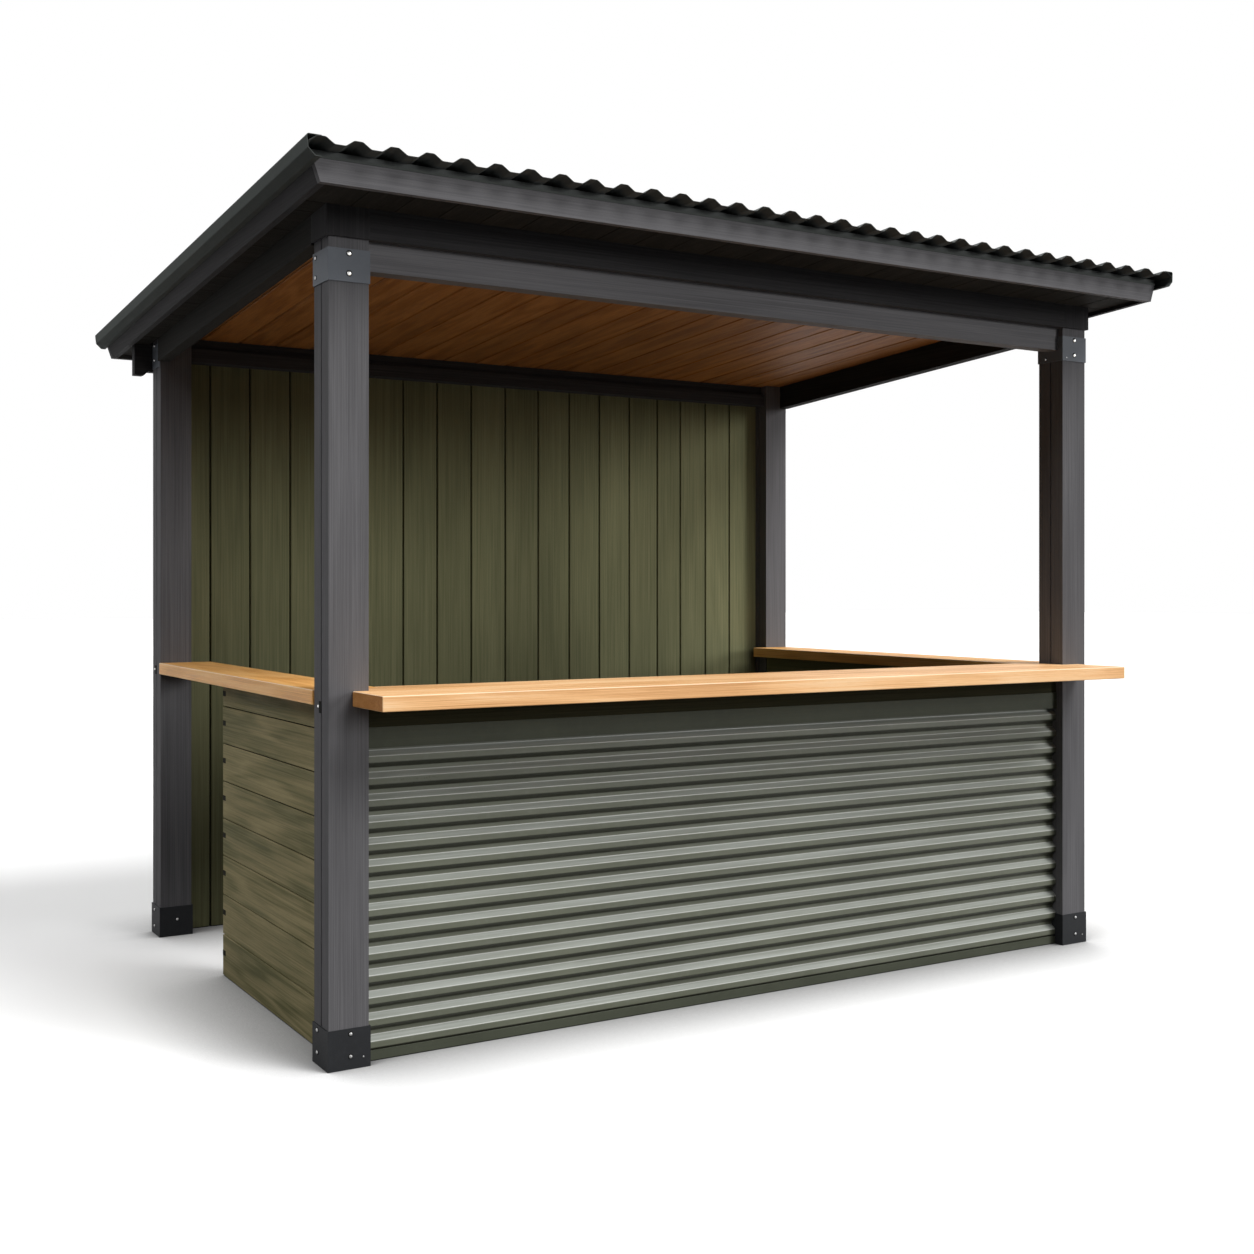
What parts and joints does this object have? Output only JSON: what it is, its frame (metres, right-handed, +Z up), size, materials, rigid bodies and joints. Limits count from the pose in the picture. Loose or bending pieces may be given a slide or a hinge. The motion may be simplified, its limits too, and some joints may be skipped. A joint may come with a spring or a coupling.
{
  "type": "garden bar pavilion",
  "caption": "Open timber bar shelter with a low lean-to roof of ribbed metal sheet, a boarded back wall, a corrugated front and a bar top round three sides.",
  "frame": {"origin": "on the ground under the centre of the whole outline, roof overhangs included", "axes": "+X along the front to the right as seen from the front, +Y from the front to the back wall, +Z up"},
  "size_m": [3.3722, 2.6164, 2.5579],
  "materials": {
    "charcoal_timber": "charcoal stain over fine straight grain, satin",
    "black_steel": "black powder coat, satin",
    "plate_steel": "dark blue-grey coat, satin",
    "roof_metal": "black-green coated sheet, satin",
    "soffit_board": "dark brown stain, matt",
    "cedar_board": "warm orange-brown clear stain, satin",
    "batten_timber": "raw sawn softwood, matt",
    "olive_board": "olive-green stain over rough grain, matt",
    "sage_metal": "grey-green coated sheet, satin",
    "oak_board": "light honey oil finish, satin"
  },
  "bodies": {
    "root": {"post_front_left": "charcoal_timber", "post_front_right": "charcoal_timber", "post_back_left": "charcoal_timber", "post_back_right": "charcoal_timber", "shoe_front_left": "black_steel", "shoe_front_right": "black_steel", "shoe_back_left": "black_steel", "shoe_back_right": "black_steel", "bracket_front_left": "plate_steel", "bracket_front_right": "plate_steel", "brackets_back": "plate_steel", "front_beam": "charcoal_timber", "front_header": "charcoal_timber", "header_caps": "charcoal_timber", "left_beam": "charcoal_timber", "right_beam": "charcoal_timber", "back_beam": "charcoal_timber", "back_header": "charcoal_timber", "rear_beam": "charcoal_timber", "ceiling": "cedar_board", "soffit": "soffit_board", "roof_battens": "batten_timber", "roof_sheet_left": "roof_metal", "roof_sheet_middle": "roof_metal", "roof_sheet_right": "roof_metal", "eave_trim": "roof_metal", "eave_filler": "black_steel", "verge_flashing_left": "roof_metal", "verge_flashing_right": "roof_metal", "front_fascia": "charcoal_timber", "back_fascia": "charcoal_timber", "left_barge": "charcoal_timber", "right_barge": "charcoal_timber", "back_wall": "olive_board", "front_panel": "sage_metal", "front_trims": "sage_metal", "front_wall_frame": "olive_board", "left_wall_boards": "olive_board", "left_wall_frame": "olive_board", "right_wall_boards": "olive_board", "right_wall_frame": "olive_board", "wall_lining": "olive_board", "front_counter": "oak_board", "left_counter": "oak_board", "right_counter": "oak_board"}
  },
  "joints": []
}
